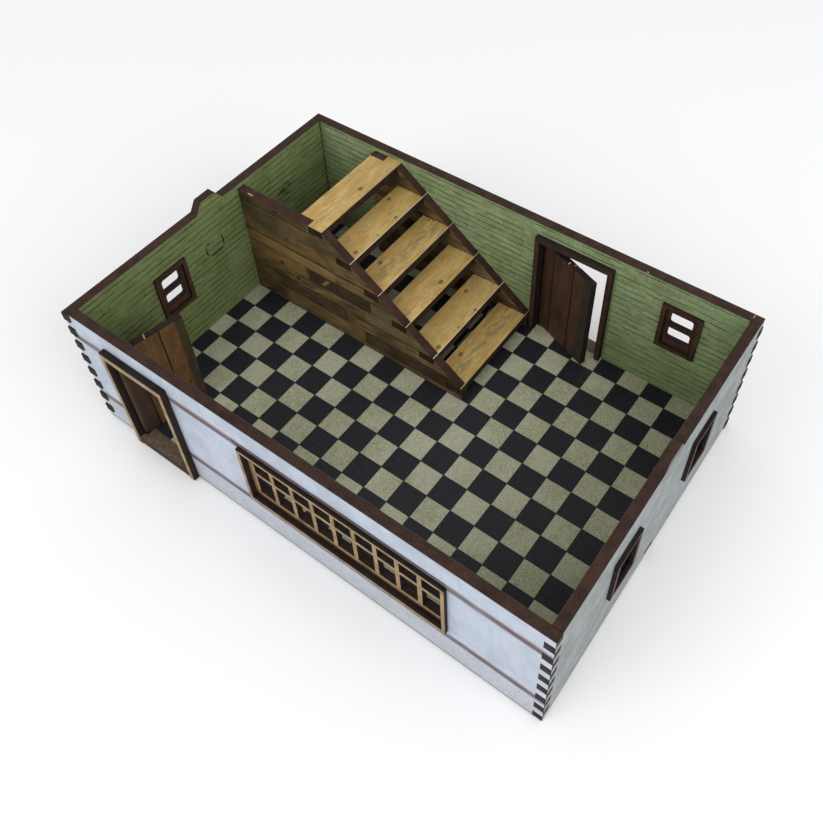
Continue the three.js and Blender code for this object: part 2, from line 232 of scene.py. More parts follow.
def finished_sheet(node, body, edge, printed, arris=0.09):
    """A CAD piece as it comes off the laser. Its mesh is copied and merged, coplanar triangles are joined,
    and each edge sharper than 40 degrees is rounded by arris millimetres.
    printed lists (direction, finish): a face whose normal has that direction takes that finish, and the
    others take the edge finish, as do the rounded arrises."""
    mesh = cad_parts[node].data.copy()
    mesh.name = f"{node}_mesh"
    mesh.materials.clear()
    for finish in [edge] + [finish for _, finish in printed]:
        mesh.materials.append(finish)
    build = bmesh.new()
    build.from_mesh(mesh)
    bmesh.ops.remove_doubles(build, verts=build.verts, dist=2e-6)
    bmesh.ops.dissolve_limit(build, angle_limit=math.radians(1), verts=build.verts, edges=build.edges)
    for face in build.faces:
        face.smooth = True
        face.material_index = 0
        for index, (direction, _) in enumerate(printed):
            if face.normal.dot(Vector(direction).normalized()) > 0.99:
                face.material_index = index + 1
    build.to_mesh(mesh)
    build.free()
    piece = mounted(f"{node}_cut_sheet", mesh, body)
    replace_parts(piece, node)
    bevel = piece.modifiers.new("eased_arris", "BEVEL")
    bevel.width = arris / 1000
    bevel.segments = 2
    bevel.limit_method = "ANGLE"
    bevel.angle_limit = math.radians(40)
    bevel.harden_normals = True
    bevel.material = 0


def tile_print():
    """Chequered tiles, 9 mm square: a tile is dark where its column and row numbers add up to an even
    number. A thin black joint runs round each tile, both tile colours are speckled like stone, and the
    tongues in the doorways are brown sills."""
    tile, joint, first_column, first_row, sill_soft = 9.0, 0.13, -76.93, 3.55, 0.3
    tiles = Finish("chequered_tile_print")
    column = tiles.sum("DIVIDE", tiles.sum("SUBTRACT", tiles.x, first_column), tile)
    row = tiles.sum("DIVIDE", tiles.sum("SUBTRACT", tiles.y, first_row), tile)
    both = tiles.sum("ADD", tiles.sum("FLOOR", column), tiles.sum("FLOOR", row))
    odd = tiles.sum("FLOORED_MODULO", both, 2.0)
    speckle = tiles.cloud(0.32, detail=5)
    cloudy = tiles.cloud(3.0, detail=4)
    tint = tiles.cloud(14.0, detail=1)
    light = tiles.mix(tiles.spread(speckle, 0.35, 0.65), ink(128, 129, 102), ink(184, 184, 158))
    light = tiles.lay(light, (140, 138, 106), tiles.spread(cloudy, 0.4, 0.7), 0.35)
    light = tiles.lay(light, (198, 196, 182), tiles.spread(tint, 0.4, 0.65), 0.25)
    dark = tiles.mix(tiles.spread(speckle, 0.4, 0.7), ink(16, 19, 25), ink(44, 48, 54))
    dark = tiles.lay(dark, (26, 26, 30), tiles.spread(cloudy, 0.45, 0.7), 0.5)
    colour = tiles.mix(odd, dark, light)
    edges = [tiles.spread(tiles.from_line(count, tile), joint * 1.6, joint * 0.7) for count in (column, row)]
    joints = tiles.sum("MAXIMUM", *edges)
    colour = tiles.lay(colour, (18, 18, 20), joints, 0.9)
    from_middle = tiles.sum("ABSOLUTE", tiles.y)
    doorway = tiles.spread(from_middle, long_wall_face - sill_soft, long_wall_face + sill_soft)
    sill = tiles.mix(tiles.spread(speckle, 0.35, 0.7), ink(58, 46, 38), ink(126, 108, 90))
    colour = tiles.mix(doorway, colour, sill)
    rough = tiles.sum("ADD", 0.42, tiles.scaled(speckle, 0.28))
    relief = tiles.sum("SUBTRACT", tiles.scaled(speckle, 0.35), tiles.scaled(joints, 0.9))
    return tiles.done(colour, rough, relief, 0.05, specular=0.28)


finished_sheet(
    "floor_panel", "building", wall_edge,
    [((0, 0, 1), tile_print()), ((0, 0, -1), raw_board)],
)

# ---------------------------------------------------------------- walls
# Four 3 mm sheets joined at the corners by fingers and glued. Outside they carry a pale plaster print,
# with two soft mauve bands on the street wall. Inside they are green brick, and their cut edges are charred.

wall_top, tab_half = 53.4, 5.7
brick_long, course_high = 7.5, 2.5
long_wall_joint, end_wall_joint = 4.5, 6.3


def plaster_print(name, tint, stain, banded=False):
    """Pale painted plaster: cloudy, faintly stained and finely pitted. The street wall's two bands are
    shadowed mouldings in the print: mauve, with broken dark middles and rust stains along the top. Two
    dark lines run over the long window, and the wall's foot is greyer and speckled."""
    plaster = Finish(name)
    cloudy = plaster.cloud(9.0, detail=5)
    fine = plaster.cloud(0.5, detail=5)
    colour = plaster.lay(ink(*tint), stain, plaster.spread(cloudy, 0.4, 0.65), 0.7)
    streaks = plaster.cloud(2.0, stretch=(1, 1, 6), detail=4)
    colour = plaster.lay(colour, stain, plaster.spread(streaks, 0.5, 0.72), 0.4)
    warm = plaster.cloud(4.5, detail=3, shift=(31, 7, 12))
    colour = plaster.lay(colour, (186, 174, 182), plaster.spread(warm, 0.52, 0.7), 0.4)
    flecks = plaster.spread(plaster.cloud(0.45, detail=2, shift=(5, 9, 2)), 0.68, 0.75)
    colour = plaster.lay(colour, (120, 112, 118), flecks, 0.35)
    relief = plaster.scaled(fine, 0.5)
    if banded:
        waver = plaster.scaled(plaster.sum("SUBTRACT", plaster.cloud(7.0, detail=2), 0.5), 0.7)
        height = plaster.sum("ADD", plaster.z, waver)
        smudge = plaster.cloud(3.0, stretch=(3, 1, 1), detail=4)
        broken = plaster.sum("ADD", 0.62, plaster.scaled(plaster.spread(smudge, 0.35, 0.62), 0.38))
        for low, high in ((41.9, 44.3), (12.1, 14.6)):
            wide = plaster.scaled(plaster.stripe(height, low - 0.5, high + 0.5, 1.2), 0.65)
            colour = plaster.mix(wide, colour, ink(152, 138, 148))
            core = plaster.stripe(height, low, high, 1.3)
            core = plaster.sum("MULTIPLY", core, broken)
            shade = plaster.mix(plaster.spread(smudge, 0.42, 0.6), ink(64, 62, 74), ink(96, 76, 74))
            colour = plaster.mix(plaster.scaled(core, 0.95), colour, shade)
            rust = plaster.stripe(height, high + 0.15, high + 0.85, 0.5)
            rust = plaster.sum("MULTIPLY", rust, plaster.spread(smudge, 0.45, 0.6))
            colour = plaster.lay(colour, (150, 118, 108), rust, 0.6)
            relief = plaster.sum("SUBTRACT", relief, plaster.scaled(core, 0.8))
        over_window = plaster.patch(plaster.x, plaster.z, -18, 55, 41.5, 45.5, 1.5)
        for level in (42.3, 43.9):
            line = plaster.sum("MULTIPLY", plaster.stripe(plaster.z, level, level + 0.7, 0.3), over_window)
            colour = plaster.lay(colour, (38, 36, 46), line, 0.8)
        foot = plaster.spread(plaster.z, 11.6, 10.8)
        colour = plaster.lay(colour, (184, 184, 186), foot, 0.45)
        speck = plaster.spread(plaster.cloud(0.55, detail=4, shift=(3, 1, 8)), 0.5, 0.68)
        speck = plaster.sum("MULTIPLY", speck, foot)
        colour = plaster.lay(colour, (142, 138, 150), speck, 0.6)
    # Darker along both cut edges: scorch along the top edge, and a painted contact shadow along the foot
    # where the wall meets the table.
    top_smoke = plaster.spread(plaster.z, wall_top - 0.6, wall_top)
    edge_darkening = plaster.sum("MAXIMUM", top_smoke, plaster.spread(plaster.z, 1.0, 0.6))
    colour = plaster.lay(colour, (98, 92, 88), edge_darkening, 0.65)
    rough = plaster.sum("ADD", 0.55, plaster.scaled(fine, 0.3))
    return plaster.done(colour, rough, relief, 0.06)


street_plaster = plaster_print("street_plaster_print", (188, 198, 213), (166, 177, 191), banded=True)
side_plaster = plaster_print("side_plaster_print", (142, 148, 150), (117, 125, 120))


def green_brick_print(name, dull, bright, mortar, first_joint):
    """Sage-green painted brick: green mottled from yellowish to bluish, with a dark line in each engraved
    course joint. The mesh carries the joint's depth, 0 to 1, in its 'joint' attribute. Faint upright joints
    stand brick_long apart and step half a brick from course to course. On every wall one of X and Y is
    fixed, so their sum measures the way along it. The print runs on up the locating tabs, where the course
    joints are only printed, and elsewhere a smoke stain follows the wall's top edge."""
    brick = Finish(name)
    carried = brick.nodes.new("ShaderNodeAttribute")
    carried.attribute_name = "joint"
    joint = carried.outputs["Fac"]
    cloudy = brick.cloud(11.0, detail=4)
    fine = brick.cloud(0.8, stretch=(1.5, 1.5, 0.8), detail=5)
    grit = brick.cloud(0.3, detail=3)
    colour = brick.mix(brick.spread(cloudy, 0.35, 0.65), ink(*dull), ink(*bright))
    colour = brick.mix(brick.spread(fine, 0.25, 0.55), ink(*toned(dull, 0.84)), colour)
    colour = brick.lay(colour, (158, 166, 122), brick.spread(grit, 0.5, 0.7), 0.35)
    yellow = brick.spread(brick.cloud(6.0, detail=3, shift=(17, 3, 40)), 0.56, 0.75)
    colour = brick.lay(colour, (142, 140, 82), yellow, 0.35)
    bluish = brick.spread(brick.cloud(8.0, detail=2, shift=(2, 33, 11)), 0.55, 0.75)
    colour = brick.lay(colour, (108, 138, 122), bluish, 0.3)
    bricks = brick.cloud(1.5, stretch=(3.5, 3.5, 1.0), detail=1, shift=(9, 9, 9))
    colour = brick.lay(colour, toned(bright, 1.14), brick.spread(bricks, 0.48, 0.62), 0.4)
    foot = brick.spread(brick.z, 34, 8)
    colour = brick.lay(colour, (104, 116, 66), foot, 0.45)
    strokes = brick.spread(brick.cloud(0.4, stretch=(3, 3, 0.8), detail=2, shift=(1, 2, 3)), 0.58, 0.7)
    colour = brick.lay(colour, (62, 78, 44), strokes, 0.1)
    course = brick.sum("DIVIDE", brick.sum("SUBTRACT", brick.z, first_joint), course_high)
    along = brick.sum("DIVIDE", brick.sum("ADD", brick.x, brick.y), brick_long)
    along = brick.sum("ADD", along, brick.scaled(brick.sum("FLOOR", course), 0.5))
    upright = brick.spread(brick.from_line(along, brick_long), 0.24, 0.08)
    faded = brick.spread(brick.cloud(2.2, detail=2, shift=(7, 5, 1)), 0.42, 0.6)
    upright = brick.sum("MULTIPLY", upright, faded)
    colour = brick.lay(colour, mortar, upright, 0.4)
    colour = brick.lay(colour, mortar, joint, 0.92)
    out_x, out_y = brick.sum("ABSOLUTE", brick.x), brick.sum("ABSOLUTE", brick.y)
    corner = brick.sum(
        "MULTIPLY", brick.spread(out_x, end_wall_face - 0.55, end_wall_face - 0.3),
        brick.spread(out_y, long_wall_face - 0.55, long_wall_face - 0.3),
    )
    colour = brick.lay(colour, (22, 26, 16), corner, 0.85)
    on_tab = brick.spread(brick.z, wall_top - 0.1, wall_top + 0.1)
    printed_joint = brick.spread(brick.from_line(course, course_high), 0.24, 0.08)
    tab_line = brick.sum("MULTIPLY", printed_joint, on_tab)
    colour = brick.lay(colour, mortar, tab_line, 0.8)
    below_tab = brick.spread(out_y, tab_half + 0.05, tab_half - 0.15)
    edge_darkening = brick.spread(brick.z, wall_top - 0.5, wall_top - 0.2)
    edge_darkening = brick.sum("MAXIMUM", brick.sum("SUBTRACT", edge_darkening, below_tab), 0.0)
    colour = brick.lay(colour, (64, 46, 36), edge_darkening, 0.95)
    rough = brick.sum("ADD", 0.5, brick.scaled(fine, 0.3))
    relief = brick.sum("ADD", brick.scaled(fine, 0.7), brick.scaled(grit, 0.3))
    return brick.done(colour, rough, relief, 0.07)


end_green = green_brick_print(
    "end_green_brick_print", (104, 118, 68), (119, 133, 86), (27, 35, 15), end_wall_joint,
)
street_green = green_brick_print(
    "street_green_brick_print", (104, 118, 68), (119, 133, 86), (27, 35, 15), long_wall_joint,
)
# The rear wall's copy is the same print painted paler, its joints too: painted light, standing for the light
# that falls on it from the street side.
lit_rear_green = green_brick_print(
    "lit_rear_green_brick_print", (126, 142, 98), (146, 163, 120), (52, 62, 36), long_wall_joint,
)
finished_sheet(
    "front_wall", "building", wall_edge,
    [((0, -1, 0), street_plaster)],
)
finished_sheet(
    "back_wall", "building", wall_edge,
    [((0, 1, 0), side_plaster)],
)
finished_sheet(
    "left_wall", "building", wall_edge,
    [((-1, 0, 0), side_plaster), ((1, 0, 0), end_green), ((0, -1, 0), dark_edge)],
)
finger_char = charred_edge("charred_finger_ends", (30, 18, 15), (54, 36, 30))
finished_sheet(
    "right_wall", "building", wall_edge,
    [((1, 0, 0), side_plaster), ((-1, 0, 0), end_green), ((0, -1, 0), finger_char)],
)

# ---------------------------------------------------------------- engraved brickwork inside
# The room side of each wall is lightly engraved with brick courses 2.5 mm high. The print layer stands
# 0.17 mm proud, and the joints are cut into it as thin lines that fade and darken along their length.


def smooth_random(count, step, seed):
    """Smooth curve through seeded random values from -1 to 1, one for each step samples, at count samples."""
    knots = np.random.default_rng(seed).uniform(-1, 1, count // step + 3)
    at = np.arange(count) / step
    low = at.astype(int)
    part = at - low
    part = part * part * (3 - 2 * part)
    return knots[low] * (1 - part) + knots[low + 1] * part


def engraved_layer(name, print_finish, along_x, face, into_room, start, end, openings, first_joint, seed):
    """Print layer on a wall's room side, on a grid of position along the wall and height.
    Each course has five rows: the joint's two lips, its two floor rows and the middle of the brick. The
    rows of one joint waver together by a smooth random curve, and the joint's depth is a second smooth
    random curve, so that the joints fade and darken along their length. Grid cells inside an opening are
    left out, and Solidify closes the layer."""
    proud, depth, lip, floor_half, waver = 0.17, 0.12, 0.31, 0.12, 0.1
    floor_line, top_line, column_step, wave_step = 4.0, wall_top - 0.1, 0.95, 5
    mean_cut, cut_swing, least_cut, cut_seeds_after = 0.75, 0.8, 0.1, 500
    columns = np.arange(start, end + column_step / 2, column_step)
    columns[-1] = end
    marks = [edge for opening in openings for edge in opening[:2]]
    columns = np.unique(np.concatenate([columns, marks]))
    courses = int((top_line - first_joint - 0.5) / course_high) + 1
    base = first_joint + course_high * np.arange(courses)
    offsets = np.array([-lip, -floor_half, floor_half, lip, course_high / 2])
    shares = np.array([0.0, 1.0, 1.0, 0.0, 0.0])
    count = len(columns)
    sway = np.stack([smooth_random(count, wave_step, seed + k) for k in range(courses)])
    cut_seed = seed + cut_seeds_after
    cut = np.stack([smooth_random(count, wave_step, cut_seed + k) for k in range(courses)])
    cut = np.clip(cut * cut_swing + mean_cut, least_cut, 1)
    heights = base[:, None, None] + offsets[None, :, None] + waver * sway[:, None, :]
    joint = shares[None, :, None] * cut[:, None, :]
    heights = heights.reshape(-1, count)
    joint = joint.reshape(-1, count)
    flat = np.zeros((1, count))
    heights = np.concatenate([flat + floor_line, heights[:-1], flat + top_line])
    joint = np.concatenate([flat, joint[:-1], flat])
    away = face + into_room * (proud - depth * joint)
    along = np.broadcast_to(columns, heights.shape)
    axes = (along, away, heights) if along_x else (away, along, heights)
    points = np.stack(axes, -1).reshape(-1, 3) / 1000
    rows = heights.shape[0]
    index = np.arange(rows * count).reshape(rows, count)
    corners = [index[:-1, :-1], index[:-1, 1:], index[1:, 1:], index[1:, :-1]]
    middle_along = (columns[:-1] + columns[1:])[None, :] / 2 + np.zeros((rows - 1, 1))
    middle_height = (heights[:-1, :-1] + heights[1:, 1:]) / 2
    keep = np.ones(middle_along.shape, bool)
    for left, right, low, high in openings:
        inside = (middle_along > left) & (middle_along < right)
        keep &= ~(inside & (middle_height > low) & (middle_height < high))
    faces = np.stack([c[keep] for c in corners], -1)
    faces_room = into_room < 0 if along_x else into_room > 0
    if not faces_room:
        faces = faces[:, ::-1]
    mesh = bpy.data.meshes.new(f"{name}_mesh")
    mesh.from_pydata(points, [], faces.tolist())
    carried = mesh.attributes.new("joint", "FLOAT", "POINT")
    carried.data.foreach_set("value", joint.reshape(-1).astype(np.float32))
    build = bmesh.new()
    build.from_mesh(mesh)
    bmesh.ops.delete(build, geom=[v for v in build.verts if not v.link_faces], context="VERTS")
    build.to_mesh(mesh)
    build.free()
    mesh.materials.append(print_finish)
    layer = mounted(name, mesh, "building")
    skin = layer.modifiers.new("layer_thickness", "SOLIDIFY")
    skin.thickness = 0.0002
    skin.offset = -1.0


gap = 0.05
long_reach, end_reach = end_wall_face - gap, long_wall_face - gap
engraved_layer(
    "front_wall_brick_layer", street_green, True, -long_wall_face, 1, -long_reach, long_reach,
    [(-70.3, -43.1, 0, 47.6), (-15.3, 54.9, 17.3, 41.9)], long_wall_joint, 11,
)
engraved_layer(
    "back_wall_brick_layer", lit_rear_green, True, long_wall_face, -1, -long_reach, long_reach,
    [(11.4, 38.5, 0, 47.6), (57.3, 69.3, 25.8, 43.8)], long_wall_joint, 2200,
)
engraved_layer(
    "left_wall_brick_layer", end_green, False, -end_wall_face, 1, -end_reach, end_reach,
    [(-28.1, -16.2, 23.4, 41.4)], end_wall_joint, 3300,
)
engraved_layer(
    "right_wall_brick_layer", end_green, False, end_wall_face, -1, -end_reach, end_reach,
    [(-28.0, -16.0, 22.8, 40.8), (16.4, 28.4, 22.8, 40.8)], end_wall_joint, 4400,
)

# ---------------------------------------------------------------- staircase panels
# Two 3 mm stringers with a print of old horizontal boards. The slope is a charred cut, and the dark ends
# of the treads' tabs show in its mortises.


def board_print():
    """Old boards about 6 mm deep: tone steps from board to board, grain drawn out along X, dark joints,
    a chipped corner and two nail holes."""
    boards = Finish("old_board_print")
    waver = boards.scaled(boards.sum("SUBTRACT", boards.cloud(12.0, detail=1), 0.5), 0.7)
    up = boards.sum("ADD", boards.z, waver)
    across = boards.x
    grain = boards.cloud(0.42, stretch=(16, 16, 1), detail=4)
    fibre = boards.cloud(0.9, stretch=(7, 7, 1), detail=4, shift=(4, 4, 9))
    cloudy = boards.cloud(7.0, stretch=(2, 2, 1), detail=3)
    base = boards.mix(boards.spread(cloudy, 0.36, 0.64), ink(88, 70, 42), ink(136, 110, 68))
    base = boards.lay(base, (146, 118, 74), boards.spread(fibre, 0.42, 0.72), 0.5)
    base = boards.lay(base, (44, 31, 18), boards.spread(grain, 0.46, 0.66), 0.85)
    tones = (
        (-84, 11, 41.3, 47.9, 0.5, (72, 62, 40)),
        (-84, -52, 47.9, 60.0, 0.75, (58, 46, 32)),
        (-80, -66, 38.5, 46.5, 0.45, (52, 52, 40)),
        (-54.5, -27.2, 23.6, 29.4, 0.85, (44, 33, 22)),
        (-70.0, -38.4, 11.9, 17.9, 0.6, (52, 40, 28)),
        (-31.0, 11.0, 6.0, 11.9, 0.75, (42, 32, 22)),
        (-84, -68, 6.0, 17.9, 0.3, (70, 58, 40)),
        (-27.2, -8.0, 23.6, 29.4, 0.45, (104, 100, 72)),
        (-30.3, 1.0, 17.9, 23.6, 0.45, (106, 102, 76)),
        (-66.0, -31.0, 6.0, 11.9, 0.4, (140, 106, 60)),
        (-84.0, -42.0, 29.4, 34.4, 0.45, (160, 126, 72)),
        (-84.0, -56.0, 23.6, 29.4, 0.4, (150, 114, 66)),
    )
    smears = boards.cloud(2.6, stretch=(3, 3, 1), detail=4, shift=(14, 3, 6))
    base = boards.lay(base, (58, 46, 28), boards.spread(smears, 0.5, 0.68), 0.55)
    colour = base
    for left, right, low, high, share, tone in tones:
        area = boards.patch(across, up, left, right, low, high, 0.35)
        colour = boards.lay(colour, tone, area, share)
    joints = None
    for level, half, strength in (
        (6.0, 0.18, 0.7), (11.9, 0.2, 0.8), (17.9, 0.28, 0.95), (23.6, 0.18, 0.8),
        (29.4, 0.2, 0.85), (34.6, 0.34, 1.0), (41.0, 0.15, 0.6), (47.9, 0.22, 0.9),
    ):
        line = boards.scaled(boards.stripe(up, level - half, level + half, 0.18), strength)
        joints = line if joints is None else boards.sum("MAXIMUM", joints, line)
    for at, low, high in (
        (-54.6, 23.6, 29.4), (-27.2, 23.6, 29.4), (-38.4, 11.9, 17.9), (-31.0, 6.0, 11.9),
        (-30.3, 17.9, 23.6), (-66.0, 29.4, 34.4), (-12.4, 11.9, 17.9), (-8.0, 6.0, 11.9),
    ):
        line = boards.scaled(boards.patch(across, up, at - 0.12, at + 0.12, low, high, 0.15), 0.75)
        joints = boards.sum("MAXIMUM", joints, line)
    broken = boards.sum("ADD", 0.6, boards.scaled(boards.spread(fibre, 0.35, 0.6), 0.4))
    joints = boards.sum("MULTIPLY", joints, broken)
    colour = boards.mix(joints, colour, ink(17, 12, 8))
    chip = boards.patch(
        boards.sum("ADD", across, boards.scaled(up, -0.8)), up, -69.0, -67.4, 24.8, 28.4, 0.9,
    )
    colour = boards.lay(colour, (158, 118, 70), chip, 0.85)
    for at, level, wide, tall in (
        (-67.5, 24.7, 1.3, 0.85), (-60.6, 20.7, 1.1, 0.75), (-66.0, 50.0, 1.2, 0.6),
    ):
        hole = boards.spot(across, up, at, level, wide, tall)
        colour = boards.mix(hole, colour, ink(16, 8, 6))
    rough = boards.sum("ADD", 0.5, boards.scaled(grain, 0.3))
    relief = boards.sum("SUBTRACT", boards.scaled(grain, 0.5), boards.scaled(joints, 1.1))
    return boards.done(colour, rough, relief, 0.09)


old_boards = board_print()
stringer_edge = charred_edge("charred_stringer_edge", (42, 23, 17), (67, 42, 31))
for stringer in ("stair_front_panel", "stair_back_panel"):
    finished_sheet(
        stringer, "building", stringer_edge,
        [((0, -1, 0), old_boards), ((0, 1, 0), old_boards)],
    )

# ---------------------------------------------------------------- stair treads
# Six 3 mm treads with a pale pine print on top and charred edges. The full-width front strip of each
# runs through both stringers, and glue holds it there.


def pine_boards():
    """Pale pine: grain drawn out along Y, warm and greenish patches, resin specks and round knots with
    dark rims."""
    pine = Finish("pine_print")
    grain = pine.cloud(0.45, stretch=(1, 14, 1), detail=5)
    streaks = pine.cloud(1.6, stretch=(1, 9, 1), detail=3, shift=(6, 2, 4))
    cloudy = pine.cloud(6.0, stretch=(1, 2, 1), detail=3)
    colour = pine.mix(pine.spread(cloudy, 0.3, 0.7), ink(176, 146, 84), ink(196, 168, 106))
    colour = pine.lay(colour, (158, 120, 64), pine.spread(streaks, 0.5, 0.75), 0.4)
    colour = pine.lay(colour, (134, 102, 56), pine.spread(grain, 0.45, 0.68), 0.6)
    ripe = pine.spread(pine.cloud(4.0, stretch=(1, 3, 1), detail=2, shift=(9, 20, 3)), 0.58, 0.75)
    colour = pine.lay(colour, (188, 126, 62), ripe, 0.4)
    mossy = pine.spread(pine.cloud(3.2, stretch=(1, 2, 1), detail=3, shift=(30, 1, 3)), 0.6, 0.78)
    colour = pine.lay(colour, (128, 130, 82), mossy, 0.35)
    fine_streaks = pine.cloud(0.9, stretch=(1, 4, 1), detail=4, shift=(2, 17, 5))
    for streak_start, streak_end in ((-30.4, -26.6), (2.6, 6.4)):
        streak = pine.stripe(pine.x, streak_start, streak_end, 1.6)
        streak = pine.sum("MULTIPLY", streak, pine.spread(fine_streaks, 0.42, 0.6))
        colour = pine.lay(colour, (108, 110, 72), streak, 0.65)
        rust = pine.stripe(pine.x, streak_start - 3.2, streak_start - 0.6, 1.4)
        rust = pine.sum("MULTIPLY", rust, pine.spread(fine_streaks, 0.62, 0.38))
        colour = pine.lay(colour, (184, 128, 62), rust, 0.5)
    specks = pine.spread(pine.cloud(0.55, detail=1, shift=(8, 8, 8)), 0.64, 0.72)
    colour = pine.lay(colour, (88, 62, 32), specks, 0.55)
    dents = None
    for at_x, at_y, half in (
        (-48.5, 36.5, 0.85), (-43.5, 45.0, 0.7), (-35.9, 39.0, 0.6), (-36.5, 18.2, 0.8), (-35.7, 28.8, 0.35),
        (-32.3, 25.2, 0.8), (-31.3, 51.3, 0.4), (-15.0, 36.0, 0.85), (-9.9, 43.8, 0.7), (-2.2, 38.4, 0.6),
        (-2.9, 17.7, 0.8), (-2.4, 28.5, 0.35), (1.1, 24.9, 0.8), (2.7, 51.0, 0.4),
    ):
        rim = pine.spot(pine.x, pine.y, at_x, at_y, half * 1.15, half * 1.6)
        core = pine.spot(pine.x, pine.y, at_x, at_y, half * 0.6, half * 0.9)
        colour = pine.lay(colour, (72, 50, 22), rim, 0.8)
        colour = pine.lay(colour, (124, 92, 46), core, 0.65)
        dents = rim if dents is None else pine.sum("MAXIMUM", dents, rim)
    # Pale lines along four treads' front edges are a painted highlight, broken up in patches.
    for front, share in ((-1.2, 0.8), (-34.2, 0.65), (-12.2, 0.2), (-23.2, 0.3)):
        edge_highlight = pine.stripe(pine.x, front - 0.34, front + 0.1, 0.1)
        patchy = pine.sum("ADD", 0.45, pine.scaled(pine.spread(streaks, 0.35, 0.55), 0.55))
        edge_highlight = pine.sum("MULTIPLY", edge_highlight, patchy)
        colour = pine.lay(colour, (226, 212, 184), edge_highlight, share)
    rough = pine.sum("ADD", 0.45, pine.scaled(grain, 0.3))
    relief = pine.sum("SUBTRACT", pine.scaled(grain, 0.6), pine.scaled(dents, 0.6))
    return pine.done(colour, rough, relief, 0.06, specular=0.4)


pine = pine_boards()
tread_edge = charred_edge("charred_tread_edge", (30, 17, 14), (56, 34, 26))
for number in range(1, 7):
    finished_sheet(
        f"stair_tread_{number}", "building", tread_edge,
        [((0, 0, 1), pine), ((0, 0, -1), raw_board)],
    )

# ---------------------------------------------------------------- door frames
# Three-sided frames cut from 2.15 mm board and glued round both doorways, outside and inside. Their
# faces are stained dark brown, and the street frame's outer face is paler, bare board.


def stained_board(name, dark, light, streak):
    """Stained board: fine upright grain over soft patches, with a few paler rubbed places."""
    stain = Finish(name)
    patches = stain.cloud(3.5, detail=4)
    grain = stain.cloud(0.4, stretch=(1, 1, 7), detail=4)
    patchy = stain.spread(stain.cloud(1.8, detail=4, shift=(12, 4, 7)), 0.58, 0.76)
    colour = stain.mix(stain.spread(patches, 0.3, 0.7), ink(*dark), ink(*light))
    colour = stain.lay(colour, streak, patchy, 0.35)
    colour = stain.lay(colour, dark, stain.spread(grain, 0.5, 0.75), 0.4)
    rough = stain.sum("ADD", 0.5, stain.scaled(grain, 0.35))
    return stain.done(colour, rough, grain, 0.06)


brown_stain = stained_board("dark_brown_stain", (46, 30, 22), (72, 47, 32), (94, 62, 40))
bare_tan = stained_board("bare_tan_face", (128, 106, 74), (170, 144, 106), (190, 164, 126))
for doorway, street in (("front_door", True), ("back_door", False)):
    outside = (0, -1, 0) if street else (0, 1, 0)
    inside = (0, 1, 0) if street else (0, -1, 0)
    outer_face = bare_tan if street else brown_stain
    finished_sheet(
        f"{doorway}_outer_frame", "building", dark_edge,
        [(outside, outer_face), (inside, raw_board)], arris=0.24 if street else 0.1,
    )
    finished_sheet(
        f"{doorway}_inner_frame", "building", dark_edge,
        [(inside, brown_stain), (outside, raw_board)], arris=0.2,
    )

# ---------------------------------------------------------------- window trims and sashes
# Each window is a 2 mm sash with its panes cut out, held between a trim ring outside and a thinner one
# inside. The long window's outside is bare tan board, and every other face is stained brown.

small_windows = {
    "left_window": (-1, 0, 0),
    "back_window": (0, 1, 0),
    "right_near_window": (1, 0, 0),
    "right_far_window": (1, 0, 0),
}
window_stain = stained_board("window_brown_stain", (44, 28, 20), (74, 48, 32), (98, 66, 44))
sash_stain = stained_board("sash_brown_stain", (46, 28, 20), (76, 48, 32), (98, 64, 42))
for window, outward in {"long_window": (0, -1, 0), **small_windows}.items():
    inward = tuple(-part for part in outward)
    tan = window == "long_window"
    finished_sheet(
        f"{window}_outer_frame", "building", dark_edge,
        [(outward, bare_tan if tan else window_stain), (inward, raw_board)],
        arris=0.16 if tan else 0.06,
    )
    finished_sheet(
        f"{window}_sash", "building", dark_edge,
        [(outward, bare_tan if tan else sash_stain), (inward, sash_stain)],
        arris=0.08 if tan else 0.05,
    )
    finished_sheet(
        f"{window}_inner_frame", "building", dark_edge,
        [(inward, window_stain), (outward, raw_board)], arris=0.06,
    )

# ---------------------------------------------------------------- doors
# Two 2.3 mm leaves of three boards each, with the joints between boards cut as grooves on both faces.
# The hinge edge is rounded, and a round peg at its top and bottom turns in the doorway.

groove_places = (4.7, 14.3)


